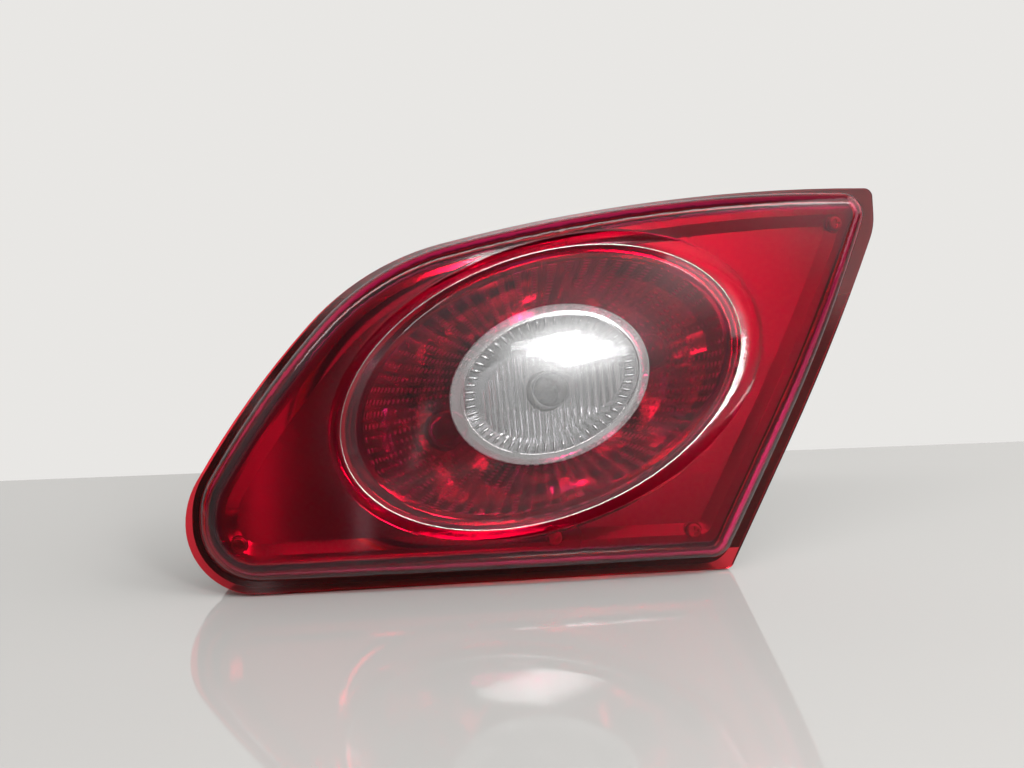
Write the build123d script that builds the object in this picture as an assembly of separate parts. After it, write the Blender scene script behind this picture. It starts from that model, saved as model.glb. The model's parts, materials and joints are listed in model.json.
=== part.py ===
"""Right-hand boot-lid tail lamp, standing on its lower edge as on a table. Millimetres, +Z up.

Every piece is built in the lamp's own frame: x to the right, y up the face, z out of the face
towards the viewer, with z = 0 on the back of the housing. PLACE then leans the lamp back on
its studs and puts the middle of its footprint on the origin.
"""
import os
from math import atan, cos, degrees, pi, sin

from build123d import *

# Outline of the lens lip: tangent arcs as (radius, turn in degrees), clockwise from the lower left
BASE_LEFT = -113.2
LEFT_AND_TOP_ARCS = [(27, 90), (31, 30.5), (343, 12), (105, 33.2), (722, 14.6)]
TOP_RIGHT_DROP = 11
RIGHT_ARCS = [(25, 23), (889, 6)]
LIP_CORNER = 3.5

# Lens
LIP_WIDTH = 5
TOP_LIFT = 3
LIP_BACK = 32
LIP_FRONT = 35
SKIN = 2.5
LEVEL_SKIN_SHARE = 0.6
WALL_CORNER = 9
LEAST_CORNER = 1.5
SHOULDER = 7.5
FACE_APEX = 50
FACE_RADIUS = 1400
FACE_CENTRE = (0, 76)
TONGUE_BACK = 24

# Oval dome and the cove round it; radii are on the short axis
DOME_CENTRE = (-5.4, 74)
DOME_TILT = 19
DOME_LONG = 81.2
DOME_SHORT = 49.6
DOME_CREST = 52.3
DOME_FOOT_FLARE = 0.9
BEVEL_WIDTH = 3.6
BEVEL_RISE = 2.7
DOME_APEX = 60
DOME_EDGE_ROUND = 0.8
COVE_CENTRE = (-2.4, 75)
COVE_LONG = 93
COVE_SHORT = 54.5
COVE_FLOOR = 45.5
COVE_RADIUS = 7
COVE_SWEEP = 60

# Reversing window
WINDOW_LONG = 39.5
WINDOW_SHORT = 28.8
WINDOW_RIM = 4
WINDOW_PROUD = 0.6
WINDOW_RECESS = 1.0
WINDOW_THICK = 3

# Housing
CHANNEL_OUTSIDE = 2.4
CHANNEL_GAP = 0.4
CHANNEL_BACK = 21
CHANNEL_FLOOR = 23
FLANGE_START = (12, 8)
INNER_WALL = 2
INNER_WALL_FRONT = 35
TRAY_INSET = 9
TRAY_WALL = 2
BACK_PLATE = 3
TURRET = (64, 40)
TURRET_WALL = 2.5
TURRET_REAR = -18
LUG_BACK = -13
LUG_FRONT = -10
LUG_REACH = 3.5
LUG_WIDTH = 10
RIB_COUNT = 14
RIB_WIDTH = 2
RIB_HEIGHT = 3
RIB_REACH = 200

# Reflector and reversing tunnel: rings as (level, long, short, centre shift to the right)
BULB_CENTRE = (2.25, 74)
BEZEL_INSET = 10.8
BEZEL_SLOPE = 8.2
BEZEL_BACK = 33
BEZEL_FRONT = 35
BEZEL_RISE = 4.5
BEZEL_PAD = 2
BOWL_FACETS = 64
BOWL_RINGS = [(35, 77, 46.5, -2.75), (24, 69, 42, -1), (14, 55, 35, 0), (8, 39, 28, 0), (5, 25, 23, 0)]
BOWL_WALL = 2
BOWL_FLOOR = 5
TUNNEL_FACETS = 56
TUNNEL_RINGS = [(52.3, 35.6, 25, -6), (30, 30.5, 20, 0), (10, 26, 17, 0)]
TUNNEL_WALL = 1.6
TUNNEL_FOOT = 3
TUNNEL_FOOT_RADIUS = 21
DISH_FLOOR = 13
DISH_RISE = 15
FLUTE_PITCH = 2.6
FLUTE_DEPTH = 0.5
FLUTE_LEAN = 3
BULB_GAP = 0.7

# Bulbs
BULB_RADIUS = 7.6
BULB_TIP = 30
BULB_SHOULDER = 5
BULB_NECK = 1.4
CAVITY_FLOOR = 8
BULB_GLASS = 0.8
PINCH_WIDTH = 14
PINCH_THICK = 5
PINCH_REAR = -8
TAIL_OFFSET = 44
FILAMENT_LEVEL = 18
LEAD_SPACING = 6
LEAD_RADIUS = 0.3
COIL_RADIUS = 0.7

# Bulb carrier
SEAL_THICK = 1.5
CARRIER_THICK = 2.7
CARRIER_MARGIN = 3
TOWER_RADIUS = 10.5
SKIRT_GAP = 2
SKIRT_WALL = 2
SKIRT_FRONT = -10
LATCH_THICK = 2
LATCH_WIDTH = 8
SOCKET_LEVEL = -18
SOCKET_SIZE = (26, 14)
SOCKET_WALL = 1.5
SOCKET_LENGTH = 18
RAIL_THICK = 0.8
CONTACT_THICK = 0.5
CONTACT_FRONT = -3
BLADE_WIDTH = 2.8
RAIL_HALF = 2
GROUND_TOP = 8
TAIL_LOW = -30
TAIL_HIGH = -27
BLADE_SPACING = 6
BLADE_LENGTH = 9

# Fixings and seals
STUD_PLACES = [(-100, 50), (95, 125), (35, 17)]
STUD_RADIUS = 3
STUD_REACH = 34
STUD_CHAMFER = 0.75
STUD_HEAD_RADIUS = 5.5
STUD_HEAD = 3
STUD_NECK_RADIUS = 3.5
COLLAR_WALL = 1.8
SCREW_PLACES = [(-121, 19), (-2, 15.8), (54, 15.8), (121, 138)]
SCREW_RADIUS = 1.3
SCREW_HEAD_RADIUS = 2.9
SCREW_HEAD = 2
SCREW_DEPTH = 9
BOSS_RADIUS = 3.6
TUNNEL_SCREW_PLACES = [(0, -17.5), (0, 17.5)]
GASKET = (78, 53)
GASKET_THICK = 5
PEG_X = 37
PEG_RADIUS = 1.6
PEG_LEVEL = 25

# Fits
FIT = 0.3
WINDOW_FIT = 0.25
BEYOND = 1

# Levels and sizes that follow from the values above
SEAL_BACK = TURRET_REAR - SEAL_THICK
CARRIER_BACK = SEAL_BACK - CARRIER_THICK
RAIL_BACK = CARRIER_BACK - RAIL_THICK
GROOVE_OUTER = LIP_WIDTH - CHANNEL_GAP
GROOVE_INNER = LIP_WIDTH + SKIN + CHANNEL_GAP
REST_SLOPE = (STUD_PLACES[2][1] - STUD_RADIUS) / (LIP_BACK + STUD_REACH - STUD_CHAMFER)
LEAN = degrees(atan(REST_SLOPE))
BULB_PLACES = [(-TAIL_OFFSET, 0), (0, 0), (TAIL_OFFSET, 0)]
SOCKET_BACK = CARRIER_BACK - SOCKET_LENGTH
FLANGE_FRONT = LIP_BACK - FIT
BEZEL_EDGE = BEZEL_FRONT + BEZEL_RISE
BEZEL_SEAT = BEZEL_FRONT + BEZEL_PAD
BULB_HOLE = BULB_RADIUS + BULB_GAP

OVAL = Pos(BULB_CENTRE[0], BULB_CENTRE[1], 0) * Rot(0, 0, DOME_TILT)
DOME = Pos(DOME_CENTRE[0], DOME_CENTRE[1], 0) * Rot(0, 0, DOME_TILT)
COVE = Pos(COVE_CENTRE[0], COVE_CENTRE[1], 0) * Rot(0, 0, DOME_TILT)


# Basic shapes
def slab(face, back, front):
    """A flat face on the xy plane drawn out from one level to another."""
    return extrude(Pos(0, 0, back) * face, front - back)


def oval(long, short, back, front):
    return slab(Ellipse(long, short), back, front)


def rod(radius, back, front, place=(0, 0)):
    return Pos(place[0], place[1], 0) * slab(Circle(radius), back, front)


def bar(x_range, y_range, z_range):
    """A box given by its two ends along each axis."""
    size = [high - low for low, high in (x_range, y_range, z_range)]
    middle = [(high + low) / 2 for low, high in (x_range, y_range, z_range)]
    return Pos(*middle) * Box(*size)


def joined(shapes):
    first, *rest = shapes
    return first.fuse(*rest) if rest else first


# The outline and its insets
def sharp_outline(lift):
    """The lip outline with its right-hand corners still sharp and its top raised by lift."""
    edges = []
    point = Vector(BASE_LEFT, 0)
    heading = Vector(-1, 0)

    def add(edge):
        edges.append(edge)
        return edge @ 1, edge % 1

    first, *upper = LEFT_AND_TOP_ARCS
    point, heading = add(JernArc(point, heading, first[0], -first[1]))
    if lift:
        point, heading = add(PolarLine(point, lift, direction=heading))
    for radius, turn in upper:
        point, heading = add(JernArc(point, heading, radius, -turn))
    point, heading = add(PolarLine(point, TOP_RIGHT_DROP, direction=(0, -1)))
    for radius, turn in RIGHT_ARCS:
        point, heading = add(JernArc(point, heading, radius, -turn))
    point, heading = add(PolarLine(point, point.Y / -heading.Y, direction=heading))
    add(Line(point, (BASE_LEFT, 0)))
    return make_face(edges)


def outline(inset, corner, lift=0):
    """The lip outline moved in by inset, its sharp corners rounded by going in and out again."""
    return offset(offset(sharp_outline(lift), -inset - corner), corner)


def inset_outline(inset):
    """The outline of the walls within the lip, which come closer to its edge along the top."""
    return outline(inset, max(WALL_CORNER + LIP_WIDTH - inset, LEAST_CORNER), TOP_LIFT)


def inset_slab(inset, back, front):
    return slab(inset_outline(inset), back, front)


def ring_slab(outer, inner, back, front):
    return inset_slab(outer, back, front) - inset_slab(inner, back - BEYOND, front + BEYOND)


def oval_ring(outer, inner, back, front):
    return oval(*outer, back, front) - oval(*inner, back - BEYOND, front + BEYOND)


def grown(axes, by):
    return [half + by for half in axes]


# Lens
def turned_oval(profile, stretch):
    """A half profile in the xz plane turned about z and stretched along the long axis."""
    return scale(revolve(profile, Axis.Z), by=(stretch, 1, 1))


def dome_form(skin):
    """Solid dome from below the cove floor to the crown, drawn in by skin all over."""
    short = DOME_SHORT - skin
    foot = COVE_FLOOR - skin - SKIN
    crest = DOME_CREST - skin * LEVEL_SKIN_SHARE
    crease = (short - BEVEL_WIDTH, crest + BEVEL_RISE)
    apex = (0, DOME_APEX - skin)
    crown = RadiusArc(crease, apex, -crown_radius(skin))
    sides = Polyline(apex, (0, foot), (short + DOME_FOOT_FLARE, foot), (short, crest), crease)
    profile = make_face([crown, *sides.edges()])
    bevel_ends = profile.vertices().sort_by(Axis.X)[-3:-1]
    profile = Plane.XZ * fillet(bevel_ends, DOME_EDGE_ROUND)
    return DOME * turned_oval(profile, (DOME_LONG - skin) / short)


def crown_radius(skin):
    half = DOME_SHORT - skin - BEVEL_WIDTH
    rise = DOME_APEX - skin - (DOME_CREST - skin * LEVEL_SKIN_SHARE + BEVEL_RISE)
    return (half**2 + rise**2) / (2 * rise)


def cove_form(skin):
    """Dish cut into the face round the dome, grown by skin."""
    short = COVE_SHORT + skin
    floor = COVE_FLOOR - skin
    bend = COVE_RADIUS + skin
    top = DOME_APEX + BEYOND
    flat = Polyline((short, top), (0, top), (0, floor), (short - bend, floor))
    sweep = JernArc(flat @ 1, (1, 0), bend, COVE_SWEEP)
    rise = Line(sweep @ 1, (short, top))
    profile = Plane.XZ * make_face([*flat.edges(), sweep, rise])
    return COVE * turned_oval(profile, (COVE_LONG + skin) / short)


def lens_form(skin, back):
    """Solid body of the lens without its lip; skin draws it in to give the inside."""
    body = inset_slab(LIP_WIDTH + skin, back, FACE_APEX + BEYOND)
    body &= Pos(*FACE_CENTRE, FACE_APEX - FACE_RADIUS) * Sphere(FACE_RADIUS - skin)
    face = body.faces().sort_by(Axis.Z)[-1]
    body = fillet(face.edges(), SHOULDER - skin * LEVEL_SKIN_SHARE)
    return body - cove_form(skin) + dome_form(skin)


def make_outer_lens():
    lens = lens_form(0, TONGUE_BACK)
    lens += slab(outline(0, LIP_CORNER), LIP_BACK, LIP_FRONT)
    lens -= lens_form(SKIN, TONGUE_BACK - BEYOND)
    return lens - DOME * oval(WINDOW_LONG, WINDOW_SHORT, COVE_FLOOR, DOME_APEX + BEYOND)


# Reversing window
def make_reverse_window():
    """Clear pane that follows the dome, with a raised rim round a slightly sunk middle."""
    axes = (WINDOW_LONG - WINDOW_FIT, WINDOW_SHORT - WINDOW_FIT)
    crown = dome_form(0)
    pane = DOME * oval(*axes, COVE_FLOOR, DOME_APEX + BEYOND)
    pane &= Pos(0, 0, WINDOW_PROUD) * crown
    sunk = DOME * oval(*grown(axes, -WINDOW_RIM), COVE_FLOOR, DOME_APEX + BEYOND)
    sunk -= Pos(0, 0, WINDOW_PROUD - WINDOW_RECESS) * crown
    return pane - sunk - Pos(0, 0, WINDOW_PROUD - WINDOW_THICK) * crown


# Reflectors
def faceted_ring(facets, level, long, short, shift):
    turns = [2 * pi * i / facets for i in range(facets)]
    points = [(long * cos(turn), short * sin(turn)) for turn in turns]
    place = Pos(BULB_CENTRE[0] + shift, BULB_CENTRE[1], level) * Rot(0, 0, DOME_TILT)
    return place * make_face(Polyline(*points, close=True))


def faceted_form(facets, rings, grow=0, foot=None):
    """Ruled tiers of flat facets through oval rings; foot moves the last ring to another level."""
    *upper, last = rings
    if foot is not None:
        last = (foot, *last[1:])
    faces = []
    for level, long, short, shift in [*upper, last]:
        faces.append(faceted_ring(facets, level, long + grow, short + grow, shift))
    return loft(faces, ruled=True)


def bezel_dish(back):
    """Block whose side leans out from the flat of the bezel to its rim."""
    flat = Pos(0, 0, back) * inset_outline(BEZEL_INSET + BEZEL_SLOPE)
    rim = Pos(0, 0, back + BEZEL_RISE) * inset_outline(BEZEL_INSET)
    return loft([flat, rim], ruled=True)


def make_reflector():
    bezel = bezel_dish(BEZEL_BACK) - bezel_dish(BEZEL_FRONT)
    for place in SCREW_PLACES:
        bezel += rod(BOSS_RADIUS, BEZEL_BACK, BEZEL_SEAT, place)
    bezel += faceted_form(BOWL_FACETS, BOWL_RINGS, BOWL_WALL, BOWL_FLOOR - BOWL_WALL)
    bezel -= faceted_form(BOWL_FACETS, BOWL_RINGS)
    mouth = faceted_ring(BOWL_FACETS, *BOWL_RINGS[0])
    bezel -= extrude(mouth, BEZEL_RISE)
    for place in BULB_PLACES:
        bezel -= OVAL * rod(BULB_HOLE, 0, BEZEL_FRONT, place)
    for place in SCREW_PLACES:
        bezel -= rod(SCREW_RADIUS + FIT, 0, BEZEL_EDGE, place)
    for place in TUNNEL_SCREW_PLACES:
        bezel -= OVAL * rod(SCREW_RADIUS + FIT, 0, BOWL_FLOOR + BEYOND, place)
    return bezel


def dish_level(x):
    """Height of the trough floor behind the bulb, a parabola across the window's width."""
    return DISH_FLOOR + DISH_RISE * (x / TUNNEL_RINGS[1][1]) ** 2


def trough_block(drop, bulge):
    """Block above the trough floor, lowered by drop; each flute bulges up between its edges."""
    count = round(TUNNEL_RINGS[0][1] / FLUTE_PITCH) + 1
    edges = [FLUTE_PITCH * i for i in range(-count, count + 1)]
    points = [(x, dish_level(x) - drop) for x in edges]
    flutes = []
    for left, right in zip(points, points[1:]):
        flutes.append(SagittaArc(left, right, bulge) if bulge else Line(left, right))
    top = TUNNEL_RINGS[0][0] + BEYOND
    lid = Polyline(points[-1], (points[-1][0], top), (points[0][0], top), points[0])
    profile = Plane.XZ * make_face([*flutes, *lid.edges()])
    block = extrude(profile, TUNNEL_RINGS[0][1], both=True)
    return Pos(*BULB_CENTRE, 0) * Rot(0, 0, FLUTE_LEAN) * block


def make_reverse_reflector():
    shell = faceted_form(TUNNEL_FACETS, TUNNEL_RINGS, TUNNEL_WALL) & trough_block(TUNNEL_WALL, 0)
    shell += OVAL * rod(BULB_HOLE + TUNNEL_WALL, BOWL_FLOOR, DISH_FLOOR)
    shell += OVAL * rod(TUNNEL_FOOT_RADIUS, BOWL_FLOOR, BOWL_FLOOR + TUNNEL_FOOT)
    shell -= faceted_form(TUNNEL_FACETS, TUNNEL_RINGS) & trough_block(0, FLUTE_DEPTH)
    shell -= OVAL * rod(BULB_HOLE, 0, DISH_FLOOR + DISH_RISE)
    for place in TUNNEL_SCREW_PLACES:
        shell -= OVAL * rod(SCREW_RADIUS, 0, BOWL_FLOOR + TUNNEL_FOOT, place)
    return shell


# Housing and seals
def housing_ribs():
    blades = []
    for i in range(RIB_COUNT):
        blade = bar((0, RIB_REACH), (-RIB_WIDTH / 2, RIB_WIDTH / 2), (-RIB_HEIGHT, BEYOND))
        blades.append(OVAL * Rot(0, 0, 360 * i / RIB_COUNT) * blade)
    ribs = joined(blades) & inset_slab(TRAY_INSET + TRAY_WALL, -RIB_HEIGHT, BEYOND)
    ribs -= OVAL * oval(*grown(GASKET, RIB_WIDTH), -RIB_HEIGHT - BEYOND, 2 * BEYOND)
    for place in STUD_PLACES:
        ribs -= rod(STUD_HEAD_RADIUS + RIB_HEIGHT, -RIB_HEIGHT - BEYOND, 0, place)
    return ribs


def weld_flange():
    """Flange behind the lip: set back at left and below, out to the lip's edge at top and right."""
    lip = slab(outline(0, LIP_CORNER), CHANNEL_BACK, FLANGE_FRONT)
    wide = Pos(*FLANGE_START, 0) * lip + inset_slab(CHANNEL_OUTSIDE, CHANNEL_BACK, FLANGE_FRONT)
    return lip & wide


def make_housing():
    collar = STUD_HEAD_RADIUS + FIT
    body = weld_flange()
    body += inset_slab(GROOVE_INNER, CHANNEL_BACK, INNER_WALL_FRONT)
    body += inset_slab(TRAY_INSET, 0, CHANNEL_FLOOR)
    body -= ring_slab(GROOVE_OUTER, GROOVE_INNER, CHANNEL_FLOOR, FLANGE_FRONT + BEYOND)
    body -= inset_slab(GROOVE_INNER + INNER_WALL, CHANNEL_FLOOR, INNER_WALL_FRONT + BEYOND)
    body -= inset_slab(TRAY_INSET + TRAY_WALL, BACK_PLATE, CHANNEL_FLOOR)
    body += housing_ribs()
    for place in SCREW_PLACES:
        body += rod(BOSS_RADIUS, BACK_PLATE - BEYOND, BEZEL_BACK, place)
        body -= rod(SCREW_RADIUS, BEZEL_BACK - SCREW_DEPTH, BEZEL_BACK + BEYOND, place)
    for place in STUD_PLACES:
        body += rod(collar + COLLAR_WALL, BACK_PLATE - BEYOND, BACK_PLATE + STUD_HEAD, place)
        body -= rod(collar, BACK_PLATE, BACK_PLATE + STUD_HEAD + BEYOND, place)
        body -= rod(STUD_NECK_RADIUS + FIT / 2, -BEYOND, BACK_PLATE + BEYOND, place)
    turret = oval(*TURRET, TURRET_REAR, BACK_PLATE)
    half = LUG_WIDTH / 2
    for side in (0, 180):
        lug = bar((0, TURRET[0] + LUG_REACH), (-half, half), (LUG_BACK, LUG_FRONT))
        turret += Rot(0, 0, side) * lug
    body += OVAL * turret
    body -= OVAL * oval(*grown(TURRET, -TURRET_WALL), TURRET_REAR - BEYOND, BACK_PLATE + BEYOND)
    return body + locating_peg()


def locating_peg():
    """Peg under the channel that ends just above the plane the lamp stands on."""
    end = (LIP_BACK - PEG_LEVEL + PEG_RADIUS) * REST_SLOPE
    length = GROOVE_OUTER - end
    peg = Rot(90, 0, 0) * Cylinder(PEG_RADIUS, length)
    return Pos(PEG_X, end + length / 2, PEG_LEVEL) * peg


def make_lens_sealant():
    bead = ring_slab(GROOVE_OUTER, GROOVE_INNER, CHANNEL_FLOOR, CHANNEL_FLOOR + SKIN)
    return bead - ring_slab(LIP_WIDTH, LIP_WIDTH + SKIN, TONGUE_BACK, LIP_BACK)


def make_body_gasket():
    return OVAL * oval_ring(GASKET, grown(TURRET, FIT), -GASKET_THICK, 0)


def make_carrier_seal():
    inner = grown(TURRET, -TURRET_WALL - SKIRT_GAP / 2)
    return OVAL * oval_ring(grown(TURRET, SKIRT_GAP / 2), inner, SEAL_BACK, TURRET_REAR)


# Bulbs
def make_bulb(place):
    neck = BULB_RADIUS - BULB_NECK
    ball = BULB_TIP - BULB_RADIUS
    half = PINCH_WIDTH / 2
    thick = PINCH_THICK / 2
    foot = [(0, BULB_TIP), (0, BULB_SHOULDER), (neck, BULB_SHOULDER)]
    side = Polyline(*foot, (BULB_RADIUS, CAVITY_FLOOR), (BULB_RADIUS, ball))
    tip = JernArc(side @ 1, (0, 1), BULB_RADIUS, 90)
    glass = revolve(Plane.XZ * make_face([*side.edges(), tip]), Axis.Z)
    glass += bar((-half, half), (-thick, thick), (PINCH_REAR, CAVITY_FLOOR))
    hollow = BULB_RADIUS - BULB_GLASS
    glass -= rod(hollow, CAVITY_FLOOR, ball) + Pos(0, 0, ball) * Sphere(hollow)
    return OVAL * Pos(*place, 0) * glass


def make_filament(place):
    half = LEAD_SPACING / 2
    coil = Cylinder(COIL_RADIUS, LEAD_SPACING + 2 * LEAD_RADIUS)
    wire = Pos(0, 0, FILAMENT_LEVEL) * Rot(0, 90, 0) * coil
    for x in (-half, half):
        wire += rod(LEAD_RADIUS, CAVITY_FLOOR, FILAMENT_LEVEL, (x, 0))
    return OVAL * Pos(*place, 0) * wire


# Bulb carrier and its rails
def rail(strips, contacts, blade_x, grow=0):
    """Flat strips, upright contacts and one connector blade, all grown by the same clearance."""
    near, far = SOCKET_LEVEL - RAIL_THICK / 2, SOCKET_LEVEL + RAIL_THICK / 2
    half = BLADE_WIDTH / 2
    blocks = [(x_range, y_range, (RAIL_BACK, CARRIER_BACK)) for x_range, y_range in strips]
    for x, y_range in contacts:
        blocks.append(((x - RAIL_HALF, x + RAIL_HALF), y_range, (RAIL_BACK, CONTACT_FRONT)))
    blocks.append(((blade_x - half, blade_x + half), (near, far), (RAIL_BACK - BLADE_LENGTH, CARRIER_BACK)))
    shapes = []
    for block in blocks:
        shapes.append(bar(*[(low - grow, high + grow) for low, high in block]))
    return joined(shapes)


def rail_plans():
    near, far = PINCH_THICK / 2, PINCH_THICK / 2 + CONTACT_THICK
    half = BLADE_WIDTH / 2
    span = (-TAIL_OFFSET - RAIL_HALF, TAIL_OFFSET + RAIL_HALF)
    ends = [(x - RAIL_HALF, x + RAIL_HALF) for x in (-TAIL_OFFSET, TAIL_OFFSET)]
    low = SOCKET_LEVEL - RAIL_HALF
    ground = [(span, (near, GROUND_TOP))]
    ground.append(((-BLADE_SPACING - half, -BLADE_SPACING + half), (low, GROUND_TOP)))
    tail = [(span, (TAIL_LOW, TAIL_HIGH)), *[(end, (TAIL_LOW, -near)) for end in ends]]
    tail.append(((BLADE_SPACING - half, BLADE_SPACING + half), (TAIL_LOW, SOCKET_LEVEL + RAIL_HALF)))
    reverse = [((-half, half), (low, -near))]
    return {
        "ground_rail": (ground, [(x, (near, far)) for x, _ in BULB_PLACES], -BLADE_SPACING),
        "tail_rail": (tail, [(x, (-far, -near)) for x in (-TAIL_OFFSET, TAIL_OFFSET)], BLADE_SPACING),
        "reverse_rail": (reverse, [(0, (-far, -near))], 0),
    }


def latch():
    """Spring arm at one end of the carrier that hooks in front of the housing's lug."""
    half = LATCH_WIDTH / 2
    inside = TURRET[0] + FIT
    arm = TURRET[0] + LUG_REACH + FIT
    outside = arm + LATCH_THICK
    foot = bar((TURRET[0] - CARRIER_MARGIN, outside), (-half, half), (CARRIER_BACK, SEAL_BACK))
    stem = bar((arm, outside), (-half, half), (CARRIER_BACK, LUG_FRONT + LATCH_THICK + FIT))
    hook = bar((inside, outside), (-half, half), (LUG_FRONT + FIT, LUG_FRONT + LATCH_THICK + FIT))
    return foot + stem + hook


def make_bulb_carrier():
    skirt = grown(TURRET, -TURRET_WALL - SKIRT_GAP)
    body = oval(*grown(TURRET, CARRIER_MARGIN), CARRIER_BACK, SEAL_BACK)
    body += oval_ring(skirt, grown(skirt, -SKIRT_WALL), SEAL_BACK - BEYOND, SKIRT_FRONT)
    wide = PINCH_WIDTH / 2 + FIT
    thick = PINCH_THICK / 2 + CONTACT_THICK + FIT
    for x, y in BULB_PLACES:
        body += rod(TOWER_RADIUS, SEAL_BACK - BEYOND, 0, (x, y))
        body -= bar((x - wide, x + wide), (-thick, thick), (PINCH_REAR, BEYOND))
    for side in (0, 180):
        body += Rot(0, 0, side) * latch()
    width, height = SOCKET_SIZE[0] / 2, SOCKET_SIZE[1] / 2
    shroud = bar((-width, width), (-height, height), (SOCKET_BACK, CARRIER_BACK + BEYOND))
    width -= SOCKET_WALL
    height -= SOCKET_WALL
    shroud -= bar((-width, width), (-height, height), (SOCKET_BACK - BEYOND, CARRIER_BACK))
    body += Pos(0, SOCKET_LEVEL, 0) * shroud
    for strips, contacts, blade_x in rail_plans().values():
        body -= rail(strips, contacts, blade_x, FIT / 2)
    return OVAL * body


# Fixings
def screw(depth):
    """Pan-head screw with its seat on the origin and its shank down z."""
    shank = rod(SCREW_RADIUS, -depth, 0)
    head = rod(SCREW_HEAD_RADIUS, 0, SCREW_HEAD)
    return shank + fillet(head.edges().group_by(Axis.Z)[-1], SCREW_HEAD / 2)


def make_reflector_screw(place):
    return Pos(*place, BEZEL_SEAT) * screw(BEZEL_SEAT - BEZEL_BACK + SCREW_DEPTH - BEYOND)


def make_tunnel_screw(place):
    """Driven from behind the bowl into the foot of the tunnel."""
    seat = OVAL * Pos(*place, BOWL_FLOOR - BOWL_WALL) * Rot(180, 0, 0)
    return seat * screw(BOWL_WALL + TUNNEL_FOOT - FIT)


def make_stud(place):
    shank = rod(STUD_RADIUS, -STUD_REACH, 0)
    shank = chamfer(shank.edges().group_by(Axis.Z)[0], STUD_CHAMFER)
    neck = rod(STUD_NECK_RADIUS, 0, BACK_PLATE)
    head = slab(RegularPolygon(STUD_HEAD_RADIUS, 6), BACK_PLATE, BACK_PLATE + STUD_HEAD)
    return Pos(*place, 0) * (shank + neck + head)


def make_group(solids):
    return Compound(children=[solid for part in solids for solid in part.solids()])


def make_parts():
    left, middle, right = BULB_PLACES
    parts = {
        "outer_lens": make_outer_lens(),
        "reverse_window": make_reverse_window(),
        "reflector": make_reflector(),
        "reverse_reflector": make_reverse_reflector(),
        "housing": make_housing(),
        "lens_sealant": make_lens_sealant(),
        "body_gasket": make_body_gasket(),
        "carrier_seal": make_carrier_seal(),
        "bulb_carrier": make_bulb_carrier(),
        "reverse_bulb": make_bulb(middle),
        "reverse_filament": make_filament(middle),
        "tail_bulb_left": make_bulb(left),
        "tail_filament_left": make_filament(left),
        "tail_bulb_right": make_bulb(right),
        "tail_filament_right": make_filament(right),
        "mounting_studs": make_group(make_stud(place) for place in STUD_PLACES),
        "reflector_screws": make_group(make_reflector_screw(place) for place in SCREW_PLACES),
        "tunnel_screws": make_group(make_tunnel_screw(place) for place in TUNNEL_SCREW_PLACES),
    }
    for name, plan in rail_plans().items():
        parts[name] = OVAL * rail(*plan)
    return parts


def placement(parts):
    """Lean the lamp back onto lip and lower stud, then centre its footprint on the origin."""
    lean = Rot(90 - LEAN, 0, 0)
    box = Compound(children=[lean * part for part in parts.values()]).bounding_box()
    return Pos(-box.center().X, -box.center().Y, -box.min.Z) * lean


def main():
    os.makedirs("parts", exist_ok=True)
    parts = make_parts()
    place = placement(parts)
    for name, part in parts.items():
        export_step(place * part, f"parts/{name}.step")


if __name__ == "__main__":
    main()
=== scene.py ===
"""Looks of the boot-lid tail lamp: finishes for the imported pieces, finer pieces in place of
plain ones, and the stage, light and camera of the photograph. Metres, in the part's frame."""
import json
import math

import bpy
from mathutils import Matrix, Vector


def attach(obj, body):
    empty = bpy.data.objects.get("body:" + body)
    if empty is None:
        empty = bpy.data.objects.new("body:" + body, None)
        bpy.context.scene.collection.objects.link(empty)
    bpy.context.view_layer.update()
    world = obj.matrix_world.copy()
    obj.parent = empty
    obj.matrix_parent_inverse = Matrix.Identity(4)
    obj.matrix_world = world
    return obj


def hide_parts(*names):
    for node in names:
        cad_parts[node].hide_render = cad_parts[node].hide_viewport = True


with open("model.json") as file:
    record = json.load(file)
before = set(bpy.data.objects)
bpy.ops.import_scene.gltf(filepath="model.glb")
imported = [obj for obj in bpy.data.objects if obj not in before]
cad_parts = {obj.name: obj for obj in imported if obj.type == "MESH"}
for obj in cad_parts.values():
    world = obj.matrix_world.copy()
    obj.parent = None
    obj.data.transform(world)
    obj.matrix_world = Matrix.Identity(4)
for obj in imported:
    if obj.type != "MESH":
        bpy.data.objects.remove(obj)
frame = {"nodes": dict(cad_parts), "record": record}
nodes = frame["nodes"]
mounts = {mount["name"]: mount for mount in frame["record"]["mounts"]}
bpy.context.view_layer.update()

# Camera of the photograph, its angles in degrees and its lens and sensor in millimetres
CAMERA_TARGET = Vector((-0.01568, -0.02391, 0.07481))
CAMERA_AZIMUTH = -11
CAMERA_ELEVATION = 8
CAMERA_DISTANCE = 0.4962
CAMERA_LENS = 44.79
CAMERA_SENSOR = 36
CAMERA_NEAR = 0.01

# Lamp axes across, out of and up its face, and the tilt of its ovals
RIGHT = Vector((1, 0, 0))
OUT = -Vector(mounts["stud_low"]["axis"])
UP = OUT.cross(RIGHT)
OVAL_TILT = math.radians(19)

# Bowl facets, between rings of (depth behind the bulb's tip, long, short, shift to the right)
BOWL_ROWS = 64
BOWL_RINGS = [
    (-0.005, 0.077, 0.0465, -0.00275),
    (0.006, 0.069, 0.042, -0.001),
    (0.016, 0.055, 0.035, 0),
    (0.022, 0.039, 0.028, 0),
]

# Pillows on the facets of each tier, clear of the tail bulbs
PILLOWS_PER_FACET = [6, 7, 7]
PILLOW_HEIGHT = 0.0004
PILLOW_COVER = 0.5
PILLOW_SINK = 0.00005
TAIL_BULB_OFFSET = 0.044
BULB_CLEARANCE = 0.0105

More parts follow.
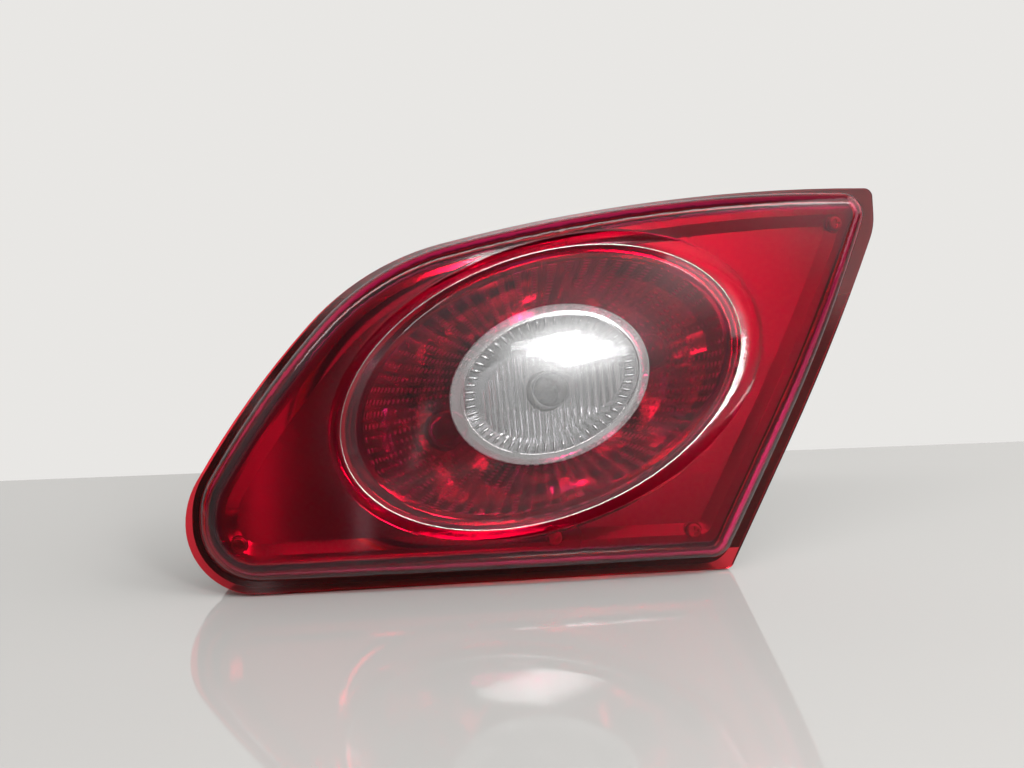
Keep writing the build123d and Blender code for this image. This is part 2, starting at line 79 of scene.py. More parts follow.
# Lens: the lip's front before the bulb's tip, its dull upper part, and the dome's oval
LIP_BEFORE_BULB = 0.0052
LIP_EDGE = 0.001
LIP_ROUGHNESS = 0.22
LIP_DULL_START = 0.08
LIP_DULL_RISE = 0.04
SHOULDER_DEPTH = 0.01
DOME_LONG = 0.0812
DOME_SHORT = 0.0496
DOME_EDGE_WIDTH = 0.00036

# Red of the lens, from the lip's back over its shoulder and the face to the dome; the dark red
# over the shoulder and the darker red of the dome are painted shade
LENS_REDS_WITH_PAINTED_SHADE = [
    (0.0, (0.95, 0.04, 0.065)),
    (0.03, (0.3, 0.01, 0.03)),
    (0.22, (0.3, 0.01, 0.03)),
    (0.45, (0.82, 0.016, 0.14)),
    (1.0, (0.58, 0.013, 0.11)),
]

# Soft edges of finishes, as squared shares of the dome's oval or the window's
# Soft edge of the darker red painted as shade inside the dome
DOME_SHADE_EDGE = (1.02, 0.94)
DUST_EDGE = (1.4, 1.0)
# Soft edge of the bezel's satin and its painted shade, outside the dome
SATIN_AND_SHADE_EDGE = (0.95, 1.1)
FROST_EDGE = (0.74, 0.8)

# Places across the lamp between which the bezel turns from bright to satin, its tone darkened
# there as painted shade
SATIN_AND_SHADE_SPAN = (-0.03, 0.03)

# Clear plastic and glass
PLASTIC_IOR = 1.49
GLASS_IOR = 1.5

# Bright line on the window's rim and ribs on its back, reaching to shares of its oval
RIM_LINE_REACH = 0.875
RIM_LINE_WIDTH = 0.0003
TOOTH_COUNT = 56
TOOTH_REACH = 0.8
TOOTH_LENGTH = 0.0034
TOOTH_RADIUS = 0.0006

# Studs
THREAD_PITCH = 0.001
THREAD_DEPTH = 0.0005
STUD_NECK_RADIUS = 0.0035
STUD_NECK = 0.003
STUD_HEAD_RADIUS = 0.0055
STUD_HEAD = 0.003
STUD_REACH = 0.034

# Screws, the last three as shares of the head's height or the shank's radius
SCREW_HEAD_RADIUS = 0.0029
SCREW_HEAD = 0.002
SCREW_RADIUS = 0.0013
SCREW_PITCH = 0.0008
RECESS_WIDTH = 0.0008
RECESS_LENGTH = 0.0034
RECESS_DEPTH = 0.0012
HEAD_ROUNDING = 0.45
SHANK_CORE = 0.8
SHANK_THREAD = 0.19

# Filaments
COIL_RADIUS = 0.00055
COIL_WIRE = 0.00011
COIL_PITCH = 0.00035
LEAD_RADIUS = 0.00025

# Fineness of meshes, and the distance at which points merge
HELIX_STEPS = 20
EDGE_LINE_STEPS = 160
WELD = 1e-6

# Table under the lamp
TABLE_EDGE = 0.19
TABLE_SIZE = 3
TABLE_TONE = (0.59, 0.58, 0.565)

# Daylight through slats, at azimuths and elevations from the lamp in degrees
LIGHT_TARGET = Vector((0, 0, 0.07))
WINDOW_SLATS = 4
FIRST_SLAT = (10.8, 26.0)
SLAT_STEP = (2.6, -2.2)
SLAT_DISTANCE = 1.2
SLAT_SIZE = (0.2, 0.044)
SLAT_RADIANCE = 44

# Other soft lights, as (direction, distance, size, radiance)
SOFT_LIGHTS = {
    "doorway_light": ((-5.5, 9.3), 1.3, (0.026, 0.34), 1.2),
    "overhead_strip": ((0, 57), 1.3, (2.2, 0.2), 7),
    "right_light": ((80, 34), 1.4, (1.2, 1.2), 1.7),
}

# Room: bands of elevation in degrees, and lobes of (direction, outer, inner, radiance)
ROOM_TINT = (1.0, 0.985, 0.96, 1)
ROOM_RADIANCE = 0.07
ROOM_LOBES = [((46, 36), 19, 5, 1.6), ((35, 13), 25, 10, 0.2), ((-48, 13), 34, 15, 0.4)]
CEILING_RADIANCE = 0.4
CEILING_START = (20, 40)
CEILING_END = (46, 62)
BACKDROP_RADIANCE = 0.81
BACKDROP_SIDES = (0.25, 0.6)
BACKDROP_TOP = (45, 25)
FLOOR_START = (4, -1)
FLOOR_SHARE = 0.75


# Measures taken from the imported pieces
def span(name, axis):
    """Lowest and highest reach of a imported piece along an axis."""
    reach = [axis.dot(vertex.co) for vertex in nodes[name].data.vertices]
    return min(reach), max(reach)


def middle(name, axis):
    return sum(span(name, axis)) / 2


BULB_AXIS = RIGHT * middle("reverse_bulb", RIGHT) + UP * middle("reverse_bulb", UP)
BULB_TIP = span("reverse_bulb", OUT)[1]
LONG = RIGHT * math.cos(OVAL_TILT) + UP * math.sin(OVAL_TILT)
SHORT = OUT.cross(LONG)
WINDOW_AXIS = LONG * middle("reverse_window", LONG) + SHORT * middle("reverse_window", SHORT)
WINDOW_LONG = span("reverse_window", LONG)[1] - WINDOW_AXIS.dot(LONG)
WINDOW_SHORT = span("reverse_window", SHORT)[1] - WINDOW_AXIS.dot(SHORT)
LIP_LEVEL = BULB_TIP + LIP_BEFORE_BULB


def oval_point(angle, depth, long, short, shift):
    """Point on an oval ring round the bulb, at a depth behind the bulb's tip."""
    across = LONG * (long * math.cos(angle)) + SHORT * (short * math.sin(angle))
    return BULB_AXIS + RIGHT * shift + across + OUT * (BULB_TIP - depth)


# Shader maths
class Value:
    """A node's output that takes part in Python arithmetic; each step adds a Math node."""

    def __init__(self, finish, socket):
        self.finish = finish
        self.socket = socket

    def math(self, operation, first, second):
        return self.finish.node("ShaderNodeMath", {"operation": operation}, {0: first, 1: second})

    def __add__(self, other):
        return self.math("ADD", self, other)

    def __radd__(self, other):
        return self.math("ADD", other, self)

    def __sub__(self, other):
        return self.math("SUBTRACT", self, other)

    def __rsub__(self, other):
        return self.math("SUBTRACT", other, self)

    def __mul__(self, other):
        return self.math("MULTIPLY", self, other)

    def __rmul__(self, other):
        return self.math("MULTIPLY", other, self)


class Finish:
    """A material, or a room's light, and the one method that adds a node to it."""

    def __init__(self, name=None, room=None):
        self.material = room or bpy.data.materials.new(name)
        self.material.use_nodes = True
        self.tree = self.material.node_tree
        self.tree.nodes.clear()

    def node(self, kind, settings=None, inputs=None, output=0):
        """A node of a kind, with its settings and then its inputs' values or links."""
        made = self.tree.nodes.new(kind)
        for key, value in (settings or {}).items():
            if key == "stops":
                set_stops(made.color_ramp, value)
            else:
                setattr(made, key, value)
        for key, value in (inputs or {}).items():
            if isinstance(value, Value):
                self.tree.links.new(value.socket, made.inputs[key])
            else:
                made.inputs[key].default_value = value
        return Value(self, made.outputs[output]) if made.outputs else None

    def place(self):
        """Object coordinates."""
        return self.node("ShaderNodeTexCoord", output=3)

    def noise(self, scale, detail):
        inputs = {"Vector": self.place(), "Scale": scale, "Detail": detail}
        return self.node("ShaderNodeTexNoise", inputs=inputs)

    def ramp(self, value, *stops):
        return self.node("ShaderNodeValToRGB", {"stops": stops}, {"Fac": value})

    def clouded(self, cloud, low, high, foot=0.3, top=0.8):
        """Tone or grey level that goes from low to high over the middle of a noise."""
        return self.ramp(cloud, (foot, low), (top, high))

    def dot(self, vector, axis):
        inputs = {0: vector, 1: tuple(axis)}
        return self.node("ShaderNodeVectorMath", {"operation": "DOT_PRODUCT"}, inputs, output=1)

    def along(self, axis):
        """How far along an axis a place on the piece is."""
        return self.dot(self.place(), axis)

    def oval_reach(self, axis, long, short):
        """Squared distance from an oval's axis across the lamp, 1 on the oval."""
        along = self.along(LONG / long) - LONG.dot(axis) / long
        across = self.along(SHORT / short) - SHORT.dot(axis) / short
        return along * along + across * across

    def rise(self, value, low, high):
        """Smooth step from 0 to 1 as a value goes from low to high."""
        inputs = {"Value": value, "From Min": low, "From Max": high}
        return self.node("ShaderNodeMapRange", {"interpolation_type": "SMOOTHSTEP"}, inputs)

    def lobe(self, facing, centre, outer, inner):
        """1 within an inner angle of a direction, falling to 0 at an outer angle, in degrees."""
        edges = [math.cos(math.radians(angle)) for angle in (outer, inner)]
        return self.rise(self.dot(facing, centre), *edges)

    def bump(self, height, strength, distance):
        inputs = {"Height": height, "Strength": strength, "Distance": distance}
        return self.node("ShaderNodeBump", inputs=inputs)

    def shader(self, **inputs):
        """Principled shader, its inputs named with underscores."""
        keys = {key.replace("_", " ").title(): value for key, value in inputs.items()}
        if "Ior" in keys:
            keys["IOR"] = keys.pop("Ior")
        return self.node("ShaderNodeBsdfPrincipled", inputs=keys)

    def mixed(self, share, first, second):
        return self.node("ShaderNodeMixShader", inputs={0: share, 1: first, 2: second})

    def surface(self, shader):
        """The material with a shader as its surface."""
        self.node("ShaderNodeOutputMaterial", inputs={"Surface": shader})
        return self.material


def set_stops(ramp, stops):
    """Colour ramp stops as (position, grey level) or (position, colour)."""
    while len(ramp.elements) < len(stops):
        ramp.elements.new(1.0)
    for element, (position, colour) in zip(ramp.elements, stops):
        element.position = position
        grey = isinstance(colour, (int, float))
        element.color = (colour, colour, colour, 1) if grey else (*colour, 1)


# Finishes
def red_lens():
    """Clear red plastic, polished on the face and unpolished on the lip behind it, with painted
    shade darkening its shoulder and its dome.
    """
    finish = Finish("red_lens")
    level = finish.along(OUT)
    polished = finish.rise(level, LIP_LEVEL, LIP_LEVEL + LIP_EDGE)
    dull_foot = span("outer_lens", UP)[0] + LIP_DULL_START
    upper = finish.rise(finish.along(UP), dull_foot, dull_foot + LIP_DULL_RISE)
    haze = 0.06 + 0.05 * finish.noise(30, 4) + LIP_ROUGHNESS * (1 - polished) * upper
    ripple = finish.bump(finish.noise(18, 1), 0.008, 0.002)
    reach = finish.oval_reach(WINDOW_AXIS, DOME_LONG, DOME_SHORT)
    dome = finish.rise(reach, *DOME_SHADE_EDGE)
    dust = 0.01 + 0.08 * finish.noise(25, 5) + 0.3 * finish.rise(reach, *DUST_EDGE)
    # Painted shade: the red darkens over the shoulder and again inside the dome
    forward = finish.rise(level, LIP_LEVEL, LIP_LEVEL + SHOULDER_DEPTH)
    red_with_painted_shade = finish.ramp(0.5 * forward + 0.5 * dome, *LENS_REDS_WITH_PAINTED_SHADE)
    return finish.surface(finish.shader(
        base_color=red_with_painted_shade, roughness=haze, normal=ripple, coat_weight=dust,
        coat_roughness=0.3, transmission_weight=1.0, ior=PLASTIC_IOR,
    ))


def clear_window():
    """Clear pane with a bright haze on its skin and a frosted rim."""
    finish = Finish("clear_window")
    reach = finish.oval_reach(WINDOW_AXIS, WINDOW_LONG, WINDOW_SHORT)
    rim = finish.rise(reach, *FROST_EDGE)
    scratches = finish.noise(60, 3)
    pane = finish.shader(
        base_color=(0.96, 0.965, 0.97, 1), roughness=0.03 * scratches, ior=PLASTIC_IOR,
        transmission_weight=1.0, coat_weight=0.85 + 0.15 * scratches, coat_roughness=0.18,
        specular_tint=(0.12, 0.12, 0.12, 1),
    )
    frost = finish.shader(
        base_color=(0.75, 0.75, 0.74, 1), roughness=0.25 + 0.2 * finish.noise(900, 2),
        transmission_weight=0.3, ior=PLASTIC_IOR,
    )
    return finish.surface(finish.mixed(0.15 + 0.13 * rim, pane, frost))


def metallised(name, low, high):
    """Bright metal film on plastic, its roughness between two levels."""
    finish = Finish(name)
    dull = finish.clouded(finish.noise(45, 4), low, high)
    tone = finish.clouded(finish.noise(25, 2), (0.80, 0.80, 0.81), (0.88, 0.88, 0.89))
    return finish.surface(finish.shader(base_color=tone, roughness=dull, metallic=1.0))


def bezel_metal():
    """Metallised bezel, bright at the left and a dull satin to the right of the dome, its tone
    darkened there as painted shade.
    """
    finish = Finish("bezel_metallised")
    outside = finish.rise(finish.oval_reach(WINDOW_AXIS, DOME_LONG, DOME_SHORT), *SATIN_AND_SHADE_EDGE)
    satin_and_shade = outside * finish.rise(finish.along(RIGHT), *SATIN_AND_SHADE_SPAN)
    dull = 0.06 + 0.08 * finish.noise(45, 4) + 0.24 * satin_and_shade
    # Painted shade: the bezel's tone darkens to the right of the dome
    painted_shade = satin_and_shade * (0.9 + 0.2 * finish.noise(25, 2))
    tone = finish.ramp(painted_shade, (0.0, (0.84, 0.84, 0.85)), (1.0, (0.3, 0.3, 0.31)))
    return finish.surface(finish.shader(base_color=tone, roughness=dull, metallic=1.0))


def moulded_plastic(name, tone, low, high):
    """Textured plastic: fine grain in the bump, cloudy roughness between two levels."""
    finish = Finish(name)
    cloud = finish.noise(40, 4)
    grain = finish.bump(finish.noise(1800, 2), 0.12, 0.0004)
    colour = finish.clouded(cloud, tone * 0.8, tone * 1.3)
    rough = finish.clouded(cloud, low, high)
    return finish.surface(finish.shader(base_color=colour, roughness=rough, normal=grain))


def foam_rubber():
    """Black closed-cell foam."""
    finish = Finish("foam_rubber")
    cells = finish.node("ShaderNodeTexVoronoi", inputs={"Vector": finish.place(), "Scale": 900})
    pitted = finish.bump(cells, 0.5, 0.0006)
    colour = finish.clouded(finish.noise(120, 3), 0.02, 0.045)
    return finish.surface(finish.shader(base_color=colour, roughness=0.9, normal=pitted))


def bulb_glass():
    """Glass with the faint grey bloom of a used bulb."""
    finish = Finish("bulb_glass")
    haze = finish.clouded(finish.noise(90, 2), 0.0, 0.03, top=0.9)
    glass = finish.shader(
        base_color=(0.98, 0.985, 0.98, 1), roughness=haze, ior=GLASS_IOR, transmission_weight=1.0,
    )
    bloom = finish.shader(
        base_color=(0.75, 0.76, 0.78, 1), roughness=0.4, transmission_weight=0.3,
    )
    share = 0.12 + 0.12 * finish.noise(300, 3)
    return finish.surface(finish.mixed(share, glass, bloom))


def bare_metal(name, colour, low, high):
    """Metal with a clouded tone and a roughness between two levels."""
    finish = Finish(name)
    cloud = finish.noise(150, 4)
    dark = tuple(part * 0.8 for part in colour)
    tone = finish.clouded(cloud, dark, colour, top=0.75)
    rough = finish.clouded(cloud, low, high)
    return finish.surface(finish.shader(base_color=tone, roughness=rough, metallic=1.0))


chrome = metallised("metallised", 0.06, 0.14)
satin_chrome = metallised("satin_metallised", 0.08, 0.12)
pillow_chrome = metallised("pillow_metallised", 0.24, 0.34)
sealant_black = moulded_plastic("sealant_black", 0.02, 0.5, 0.7)
lamp_glass = bulb_glass()
steel = bare_metal("plated_steel", (0.62, 0.6, 0.55), 0.25, 0.45)
rail_brass = bare_metal("rail_brass", (0.8, 0.62, 0.32), 0.2, 0.4)
edge_metal = bare_metal("edge_metal", (0.5, 0.49, 0.49), 0.15, 0.25)
tungsten = bare_metal("tungsten", (0.45, 0.44, 0.43), 0.3, 0.5)

for name, material in {
    "outer_lens": red_lens(),
    "reverse_window": clear_window(),
    "reflector": bezel_metal(),
    "reverse_reflector": satin_chrome,
    "housing": moulded_plastic("housing_black", 0.012, 0.35, 0.55),
    "bulb_carrier": moulded_plastic("carrier_grey", 0.4, 0.4, 0.6),
    "lens_sealant": sealant_black,
    "carrier_seal": sealant_black,
    "body_gasket": foam_rubber(),
    "reverse_bulb": lamp_glass,
    "tail_bulb_left": lamp_glass,
    "tail_bulb_right": lamp_glass,
    "ground_rail": rail_brass,
    "tail_rail": rail_brass,
    "reverse_rail": rail_brass,
}.items():
    nodes[name].data.materials.clear()
    nodes[name].data.materials.append(material)


# Modelling helpers
def deselect():
    bpy.ops.object.select_all(action="DESELECT")


def select(objects):
    deselect()
    for item in objects:
        item.select_set(True)
    bpy.context.view_layer.objects.active = objects[0]


def settle(smooth=30):
    """The new primitive with its place in its mesh and its soft edges shaded smooth."""
    bpy.ops.object.transform_apply(location=True, rotation=True, scale=True)
    if smooth:
        bpy.ops.object.shade_smooth_by_angle(angle=math.radians(smooth))
    return bpy.context.object


def rod(radius, low, high, sides=24, place=(0, 0)):
    """Cylinder along z between two levels."""
    deselect()
    bpy.ops.mesh.primitive_cylinder_add(
        vertices=sides, radius=radius, depth=high - low, location=(*place, (low + high) / 2)
    )
    return settle()


def joined(objects):
    select(objects)
    bpy.ops.object.join()
    return bpy.context.object


def copied(piece, matrix):
    """A copy of a modelled piece with a mesh of its own, moved to its place."""
    twin = piece.copy()
    twin.data = piece.data.copy()
    twin.data.transform(matrix)
    bpy.context.collection.objects.link(twin)
    return twin


def standing(place, axis):
    """Matrix that stands a piece made along z on a place, pointing along an axis."""
    turn = axis.to_track_quat("Z", "Y").to_matrix().to_4x4()
    return Matrix.Translation(place) @ turn


def apply_modifier(piece, kind, **settings):
    select([piece])
    modifier = piece.modifiers.new(kind.lower(), kind)
    for key, value in settings.items():
        setattr(modifier, key, value)
    bpy.ops.object.modifier_apply(modifier=modifier.name)


def bevel(piece, width, segments):
    apply_modifier(piece, "BEVEL", width=width, segments=segments, limit_method="ANGLE")


def close_holes():
    """Faces over the open ends of the mesh in edit mode."""
    bpy.ops.mesh.select_all(action="DESELECT")
    bpy.ops.mesh.select_non_manifold()
    bpy.ops.mesh.edge_face_add()


def face_outwards():
    """The active piece's faces turned outwards."""
    bpy.ops.object.mode_set(mode="EDIT")
    bpy.ops.mesh.select_all(action="SELECT")
    bpy.ops.mesh.normals_make_consistent(inside=False)
    bpy.ops.object.mode_set(mode="OBJECT")


def helix(radius, wire, pitch, length, sides):
    """Wire of a few sides wound round z from the origin up, its ends closed."""
    deselect()
    bpy.ops.mesh.primitive_circle_add(
        vertices=sides, radius=wire, location=(radius, 0, 0), rotation=(math.pi / 2, 0, 0)
    )
    piece = settle(smooth=0)
    apply_modifier(
        piece, "SCREW", axis="Z", steps=HELIX_STEPS, render_steps=HELIX_STEPS,
        iterations=round(length / pitch), screw_offset=pitch,
    )
    bpy.ops.object.mode_set(mode="EDIT")
    bpy.ops.mesh.select_mode(type="VERT")
    bpy.ops.mesh.select_all(action="SELECT")
    bpy.ops.mesh.remove_doubles(threshold=WELD)
    close_holes()
    bpy.ops.object.mode_set(mode="OBJECT")
    face_outwards()
    bpy.ops.object.shade_smooth_by_angle(angle=math.radians(40))
    return piece


def finished(piece, name, material, slot, *stands_for):
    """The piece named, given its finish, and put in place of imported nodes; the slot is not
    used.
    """
    piece.name = name
    piece.data.name = name
    piece.data.materials.clear()
    piece.data.materials.append(material)
    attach(piece, "root")
    if stands_for:
        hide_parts(*stands_for)


# Threaded studs
def stud():
    """Stud along z with its flange face on the origin, thread below and hexagon above."""
    radius = mounts["stud_low"]["dims"]["r_mm"] / 1000
    core = rod(radius - THREAD_DEPTH, -STUD_REACH, 0)
    bevel(core, THREAD_DEPTH, 2)
    thread_length = STUD_REACH - 3 * THREAD_PITCH
    thread = helix(radius - THREAD_DEPTH, THREAD_DEPTH * 0.98, THREAD_PITCH, thread_length, 4)
    thread.data.transform(Matrix.Translation((0, 0, -STUD_REACH + 1.5 * THREAD_PITCH)))
    neck = rod(STUD_NECK_RADIUS, 0, STUD_NECK)
    head = rod(STUD_HEAD_RADIUS, STUD_NECK, STUD_NECK + STUD_HEAD, 6)
    return joined([core, thread, neck, head])


def threaded_studs():
    """The stud stood on each of the record's pin mounts."""
    pattern = stud()
    studs = []
    for name in ("stud_left", "stud_right", "stud_low"):
        mount = mounts[name]
        length = mount["dims"]["length_mm"] / 1000
        axis = Vector(mount["axis"])
        root = Vector(mount["pos_m"]) - axis * (length / 2)
        studs.append(copied(pattern, standing(root, -axis)))
    bpy.data.objects.remove(pattern)
    finished(joined(studs), "threaded_studs", steel, "steel", "mounting_studs")


# Cross-head screws
def cross_head_screw(depth):
    """Pan-head screw with its seat on the origin, its shank down z and a cross in its head."""
    head = rod(SCREW_HEAD_RADIUS, 0, SCREW_HEAD, 32)
    bevel(head, SCREW_HEAD * HEAD_ROUNDING, 4)
    for size in ((RECESS_LENGTH, RECESS_WIDTH), (RECESS_WIDTH, RECESS_LENGTH)):
        deselect()
        bpy.ops.mesh.primitive_cube_add(
            size=1, location=(0, 0, SCREW_HEAD), scale=(*size, 2 * RECESS_DEPTH)
        )
        cutter = settle(smooth=0)
        apply_modifier(head, "BOOLEAN", operation="DIFFERENCE", object=cutter)
        bpy.data.objects.remove(cutter)
    core = SCREW_RADIUS * SHANK_CORE
    shank = rod(core, -depth, 0, 12)
    thread = helix(core, SCREW_RADIUS * SHANK_THREAD, SCREW_PITCH, depth * 0.9, 4)
    thread.data.transform(Matrix.Translation((0, 0, -depth * 0.95)))
    return joined([head, shank, thread])


def loose_places(name):
    """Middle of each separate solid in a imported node, across the lamp."""
    twin = copied(nodes[name], Matrix())
    select([twin])
    bpy.ops.object.mode_set(mode="EDIT")
    bpy.ops.mesh.select_all(action="SELECT")
    bpy.ops.mesh.remove_doubles(threshold=WELD)
    bpy.ops.mesh.separate(type="LOOSE")
    bpy.ops.object.mode_set(mode="OBJECT")
    places = []
    for piece in list(bpy.context.selected_objects):
        points = [vertex.co for vertex in piece.data.vertices]
        right = [RIGHT.dot(point) for point in points]
        up = [UP.dot(point) for point in points]
        places.append(RIGHT * (min(right) + max(right)) / 2 + UP * (min(up) + max(up)) / 2)
        bpy.data.objects.remove(piece)
    return places


def screws_for(name, new_name, axis):
    """Cross-head screws in the places of a packed group, their heads towards an axis."""
    low, high = sorted(axis.dot(OUT) * level for level in span(name, OUT))
    seat = high - SCREW_HEAD
    pattern = cross_head_screw(seat - low)
    level = OUT * axis.dot(OUT) * seat
    screws = [copied(pattern, standing(place + level, axis)) for place in loose_places(name)]
    bpy.data.objects.remove(pattern)
    finished(joined(screws), new_name, steel, "steel", name)


# Filaments
def coiled_filament(name):
    """Coil between two bent leads, in the place of a packed filament."""
    low, high = span(name, OUT)
    half = (span(name, LONG)[1] - span(name, LONG)[0]) / 2
    coil = helix(COIL_RADIUS, COIL_WIRE, COIL_PITCH, 2 * half - 4 * LEAD_RADIUS, 6)
    coil.data.transform(Matrix.Translation((0, 0, -half + 2 * LEAD_RADIUS)))
    coil.data.transform(Matrix.Rotation(math.pi / 2, 4, "Y"))
    rise = high - low - COIL_RADIUS
    places = [(side * (half - LEAD_RADIUS), 0) for side in (-1, 1)]
    leads = [rod(LEAD_RADIUS, -rise, COIL_RADIUS, 10, place) for place in places]
    wire = joined([coil, *leads])
    centre = RIGHT * middle(name, RIGHT) + UP * middle(name, UP) + OUT * (low + rise)
    axes = Matrix((LONG, SHORT, OUT)).transposed().to_4x4()
    wire.data.transform(Matrix.Translation(centre) @ axes)
    finished(wire, name.replace("filament", "coil"), tungsten, "filament", name)


# Pillow optics on the bowl
def pillow():
    """Round cap of unit half width and height 1, closed below."""
    deselect()
    bpy.ops.mesh.primitive_uv_sphere_add(segments=8, ring_count=6, radius=1)
    piece = settle(smooth=0)
    bpy.ops.object.mode_set(mode="EDIT")
    bpy.ops.mesh.select_mode(type="VERT")
    bpy.ops.mesh.select_all(action="DESELECT")
    bpy.ops.object.mode_set(mode="OBJECT")
    for vertex in piece.data.vertices:
        vertex.select = vertex.co.z < -0.01
    bpy.ops.object.mode_set(mode="EDIT")
    bpy.ops.mesh.delete(type="VERT")
    close_holes()
    bpy.ops.object.mode_set(mode="OBJECT")
    bpy.ops.object.shade_smooth_by_angle(angle=math.radians(60))
    return piece


def near_tail_bulb(point):
    for side in (-1, 1):
        gap = point - BULB_AXIS - LONG * (side * TAIL_BULB_OFFSET)
        gap -= OUT * gap.dot(OUT)
        if gap.length < BULB_CLEARANCE:
            return True
    return False


def facet_pillows(pattern, corners, count):
    """Row of pillows down a facet, given its two outer corners and then its two inner ones."""
    outer = corners[1] - corners[0]
    inner = corners[3] - corners[2]
    top = (corners[0] + corners[1]) / 2
    foot = (corners[2] + corners[3]) / 2
    across = outer.normalized()
    down = (foot - top).normalized()
    normal = across.cross(down)
    normal = normal if normal.dot(OUT) > 0 else -normal
    half_length = (foot - top).length / count / 2 * PILLOW_COVER
    row = []
    for step in range(count):
        share = (step + 0.5) / count
        point = top.lerp(foot, share)
        if near_tail_bulb(point):
            continue
        half_width = (outer.length * (1 - share) + inner.length * share) / 2 * PILLOW_COVER
        axes = (across * half_width, down * half_length, normal * PILLOW_HEIGHT)
        place = Matrix.Translation(point - normal * PILLOW_SINK)
        row.append(copied(pattern, place @ Matrix(axes).transposed().to_4x4()))
    return row


def pillow_optics():
    """Radial rows of small convex pillows up the facets of the bowl."""
    pattern = pillow()
    tiers = list(zip(BOWL_RINGS, BOWL_RINGS[1:], PILLOWS_PER_FACET))
    pillows = []
    for row in range(BOWL_ROWS):
        turns = [2 * math.pi * edge / BOWL_ROWS for edge in (row, row + 1)]
        for outer, inner, count in tiers:
            corners = [oval_point(turn, *ring) for ring in (outer, inner) for turn in turns]
            pillows += facet_pillows(pattern, corners, count)
    bpy.data.objects.remove(pattern)
    piece = joined(pillows)
    face_outwards()
    finished(piece, "pillow_optics", pillow_chrome, "metallised")


# Fine edges of the dome and the window
def edge_line(name, carrier, long, short, width):
    """Thin bright bead on an oval round the window's axis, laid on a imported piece's front."""
    deselect()
    bpy.ops.mesh.primitive_circle_add(vertices=EDGE_LINE_STEPS, radius=1)
    bead = settle(smooth=0)
    bpy.ops.object.mode_set(mode="EDIT")
    bpy.ops.mesh.select_all(action="SELECT")
    bpy.ops.transform.resize(value=(long, short, 1), center_override=(0, 0, 0))
    bpy.ops.mesh.extrude_region_move(TRANSFORM_OT_translate={"value": (0, 0, width)})
    bpy.ops.object.mode_set(mode="OBJECT")
    apply_modifier(bead, "SOLIDIFY", thickness=width, offset=0)
    bevel(bead, width * 0.3, 2)
    face_outwards()
    bpy.ops.object.shade_smooth_by_angle(angle=math.radians(50))
    for vertex in bead.data.vertices:
        x, y, lift = vertex.co
        turn = math.atan2(y / short, x / long)
        line = WINDOW_AXIS + LONG * (long * math.cos(turn)) + SHORT * (short * math.sin(turn))
        crest = carrier.ray_cast(line + OUT, -OUT)[1]
        vertex.co = WINDOW_AXIS + LONG * x + SHORT * y + OUT * (OUT.dot(crest) + lift - width / 2)
    finished(bead, name, edge_metal, "metallised")


def window_teeth():
    """Small round ribs on the back of the window, in a ring inside its rim."""
    pattern = rod(TOOTH_RADIUS, -TOOTH_LENGTH / 2, TOOTH_LENGTH / 2, 10)
    bevel(pattern, TOOTH_RADIUS * 0.5, 2)
    teeth = []
    for tooth in range(TOOTH_COUNT):
        turn = 2 * math.pi * tooth / TOOTH_COUNT
        across = LONG * (WINDOW_LONG * math.cos(turn)) + SHORT * (WINDOW_SHORT * math.sin(turn))
        behind = WINDOW_AXIS + across * TOOTH_REACH + OUT * BULB_TIP
        place = nodes["reverse_window"].ray_cast(behind, OUT)[1]
        teeth.append(copied(pattern, standing(place, across.normalized())))
    bpy.data.objects.remove(pattern)
    finished(joined(teeth), "window_teeth", chrome, "metallised")


threaded_studs()
screws_for("reflector_screws", "bezel_cross_screws", OUT)
screws_for("tunnel_screws", "tunnel_cross_screws", -OUT)
for filament in ("reverse_filament", "tail_filament_left", "tail_filament_right"):
    coiled_filament(filament)
pillow_optics()
edge_line(
    "dome_edge_line", nodes["outer_lens"],
    DOME_LONG - DOME_EDGE_WIDTH, DOME_SHORT - DOME_EDGE_WIDTH, DOME_EDGE_WIDTH,
)
edge_line(
    "window_rim_line", nodes["reverse_window"],
    RIM_LINE_REACH * WINDOW_LONG, RIM_LINE_REACH * WINDOW_SHORT, RIM_LINE_WIDTH,
)
window_teeth()


# Stage
def gloss_table():
    """Pale polished table top, lightly clouded."""
    finish = Finish("gloss_table")
    cloud = finish.noise(3, 3)
    colour = finish.clouded(cloud, TABLE_TONE, tuple(part * 1.03 for part in TABLE_TONE))
    rough = finish.clouded(cloud, 0.03, 0.06)
    return finish.surface(finish.shader(base_color=colour, roughness=rough))


deselect()
bpy.ops.mesh.primitive_plane_add(size=TABLE_SIZE, location=(0, TABLE_EDGE - TABLE_SIZE / 2, 0))
table = settle(smooth=0)
table.name = "table"
table.data.materials.append(gloss_table())


# Light
def towards(azimuth, elevation):
    """Direction from the lamp, by degrees to the viewer's right and degrees up."""
    turn = math.radians(azimuth)
    lift = math.radians(elevation)
    level = math.cos(lift)
    return Vector((math.sin(turn) * level, -math.cos(turn) * level, math.sin(lift)))


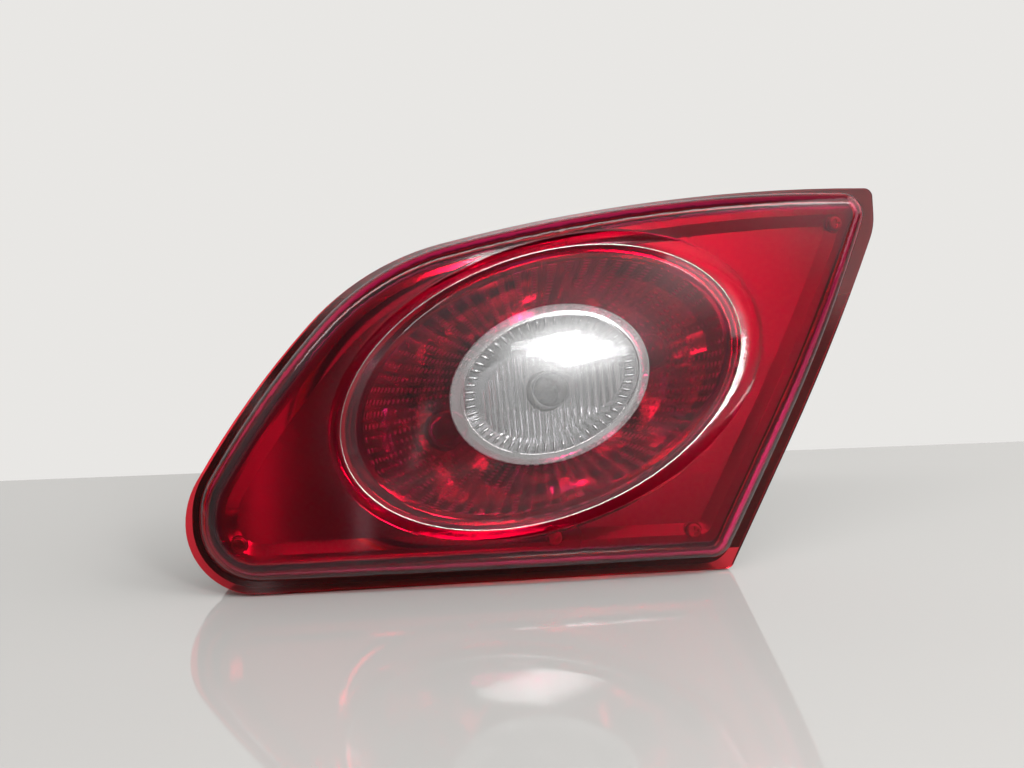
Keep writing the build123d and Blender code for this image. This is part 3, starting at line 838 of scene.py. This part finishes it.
def soft_box(name, direction, distance, size, radiance):
    """Rectangle light seen from the lamp at an azimuth and elevation in degrees."""
    away = towards(*direction)
    light = bpy.data.lights.new(name, "AREA")
    light.shape = "RECTANGLE"
    light.size, light.size_y = size
    light.energy = radiance * math.pi * size[0] * size[1]
    made = bpy.data.objects.new(name, light)
    bpy.context.collection.objects.link(made)
    made.location = LIGHT_TARGET + away * distance
    made.rotation_euler = (-away).to_track_quat("-Z", "Y").to_euler()


for slat in range(WINDOW_SLATS):
    direction = [first + step * slat for first, step in zip(FIRST_SLAT, SLAT_STEP)]
    soft_box("window_slat", direction, SLAT_DISTANCE, SLAT_SIZE, SLAT_RADIANCE)
for name, settings in SOFT_LIGHTS.items():
    soft_box(name, *settings)


def heights(elevations):
    """Upward parts of directions at elevations in degrees."""
    return [math.sin(math.radians(elevation)) for elevation in elevations]


def room_light():
    """World that is dark where the viewer stands and pale behind the lamp and below the table."""
    room = bpy.data.worlds.new("room")
    finish = Finish(room=room)
    facing = finish.node("ShaderNodeTexCoord", output=0)
    height = finish.dot(facing, (0, 0, 1))
    above = finish.rise(height, *heights(CEILING_START))
    overhead = finish.rise(height, *heights(CEILING_END))
    strength = ROOM_RADIANCE + above * (1 - overhead) * CEILING_RADIANCE
    for centre, outer, inner, radiance in ROOM_LOBES:
        strength = strength + finish.lobe(facing, towards(*centre), outer, inner) * radiance
    low = finish.rise(height, *heights(FLOOR_START))
    behind = finish.rise(finish.dot(facing, (0, 1, 0)), *BACKDROP_SIDES)
    behind = behind * finish.rise(height, *heights(BACKDROP_TOP))
    dark = (1 - behind) * (1 - FLOOR_SHARE * low)
    strength = strength * dark + BACKDROP_RADIANCE * (1 - dark)
    glow = finish.node("ShaderNodeBackground", inputs={"Color": ROOM_TINT, "Strength": strength})
    finish.node("ShaderNodeOutputWorld", inputs={"Surface": glow})
    bpy.context.scene.world = room


room_light()
bpy.context.scene.view_settings.view_transform = "Standard"


# Camera
def place_camera():
    back = towards(CAMERA_AZIMUTH, CAMERA_ELEVATION)
    lens = bpy.data.cameras.new("camera")
    lens.lens = CAMERA_LENS
    lens.sensor_width = CAMERA_SENSOR
    lens.clip_start = CAMERA_NEAR
    made = bpy.data.objects.new("camera", lens)
    bpy.context.collection.objects.link(made)
    made.location = CAMERA_TARGET + back * CAMERA_DISTANCE
    made.rotation_euler = (-back).to_track_quat("-Z", "Y").to_euler()
    bpy.context.scene.camera = made


place_camera()
